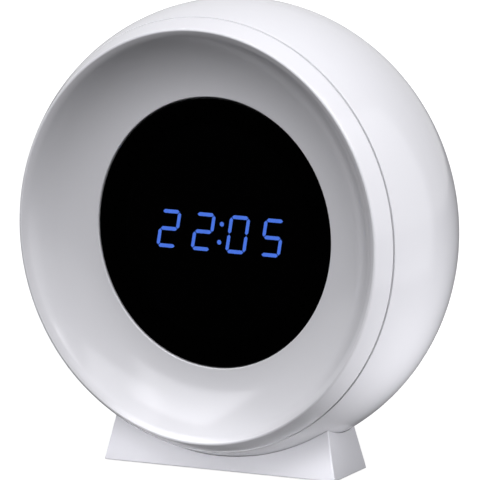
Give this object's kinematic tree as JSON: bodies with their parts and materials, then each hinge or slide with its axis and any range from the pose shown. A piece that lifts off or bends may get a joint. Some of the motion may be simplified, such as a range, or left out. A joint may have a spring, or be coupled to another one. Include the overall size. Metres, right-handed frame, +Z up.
{
  "type": "night light clock",
  "caption": "Round bedside night light clock: white ball-like body on a block stand, dished glowing front, black lens with lit time digits, push buttons and charging socket on the flat back.",
  "frame": {"origin": "on the table, on the foot pad's underside, below the centre of the round body", "axes": "-Y is the way the display faces, +X is to the right of a person who reads it, +Z is up"},
  "size_m": [0.11, 0.0509, 0.1129],
  "materials": {
    "opal_white": "satin opal moulding that lets the night light through",
    "shell_white": "satin white moulding",
    "stand_white": "fine matte moulding",
    "lens_black": "polished smoked lens",
    "tape_black": "matte foam tape",
    "housing_black": "matte black moulding",
    "lit_blue": "lit blue light guide",
    "unlit_grey": "dark light guide",
    "board_green": "solder mask",
    "board_white": "white solder mask",
    "led_cream": "phosphor under clear resin",
    "chip_black": "moulded resin",
    "screw_steel": "zinc plated",
    "socket_steel": "bright stainless",
    "wire_red": "insulated wire",
    "cell_foil": "laminated foil pouch",
    "connector_cream": "moulded nylon",
    "ribbon_white": "flat flexible film",
    "plunger_amber": "moulded resin",
    "button_grey": "satin moulding",
    "pad_rubber": "fine foam rubber"
  },
  "bodies": {
    "clock": {"front_bowl": "opal_white", "rear_shell": "shell_white", "case_screws": "screw_steel", "display_lens": "lens_black", "lens_tape": "tape_black", "display_housing": "housing_black", "lit_segments": "lit_blue", "unlit_segments": "unlit_grey", "colon_dots": "lit_blue", "display_board": "board_green", "display_board_screws": "screw_steel", "clock_chip": "chip_black", "clock_crystal": "socket_steel", "light_ring_board": "board_white", "light_ring_leds": "led_cream", "light_ring_screws": "screw_steel", "light_ring_lead": "wire_red", "battery_cell": "cell_foil", "battery_tape": "tape_black", "battery_socket": "connector_cream", "battery_lead": "wire_red", "ribbon_cable": "ribbon_white", "ribbon_connectors": "connector_cream", "control_board": "board_green", "control_board_screws": "screw_steel", "switch_bodies": "chip_black", "socket_shell": "socket_steel", "socket_tongue": "chip_black", "buzzer": "chip_black", "stand": "stand_white", "stand_screws": "screw_steel", "foot_pad": "pad_rubber"},
    "mode_key": {"mode_button": "button_grey", "mode_plunger": "plunger_amber"},
    "up_key": {"up_button": "button_grey", "up_plunger": "plunger_amber"},
    "down_key": {"down_button": "button_grey", "down_plunger": "plunger_amber"},
    "light_key": {"light_button": "button_grey", "light_plunger": "plunger_amber"}
  },
  "joints": [
    {"name": "mode_press", "type": "slide", "parent": "clock", "child": "mode_key", "axis": [0, -1, 0], "range_m": [0, 0.0008], "stiffness_N_per_m": 400, "springref_m": -0.0015},
    {"name": "up_press", "type": "slide", "parent": "clock", "child": "up_key", "axis": [0, -1, 0], "range_m": [0, 0.0008], "stiffness_N_per_m": 400, "springref_m": -0.0015},
    {"name": "down_press", "type": "slide", "parent": "clock", "child": "down_key", "axis": [0, -1, 0], "range_m": [0, 0.0008], "stiffness_N_per_m": 400, "springref_m": -0.0015},
    {"name": "light_press", "type": "slide", "parent": "clock", "child": "light_key", "axis": [0, -1, 0], "range_m": [0, 0.0008], "stiffness_N_per_m": 400, "springref_m": -0.0015}
  ]
}
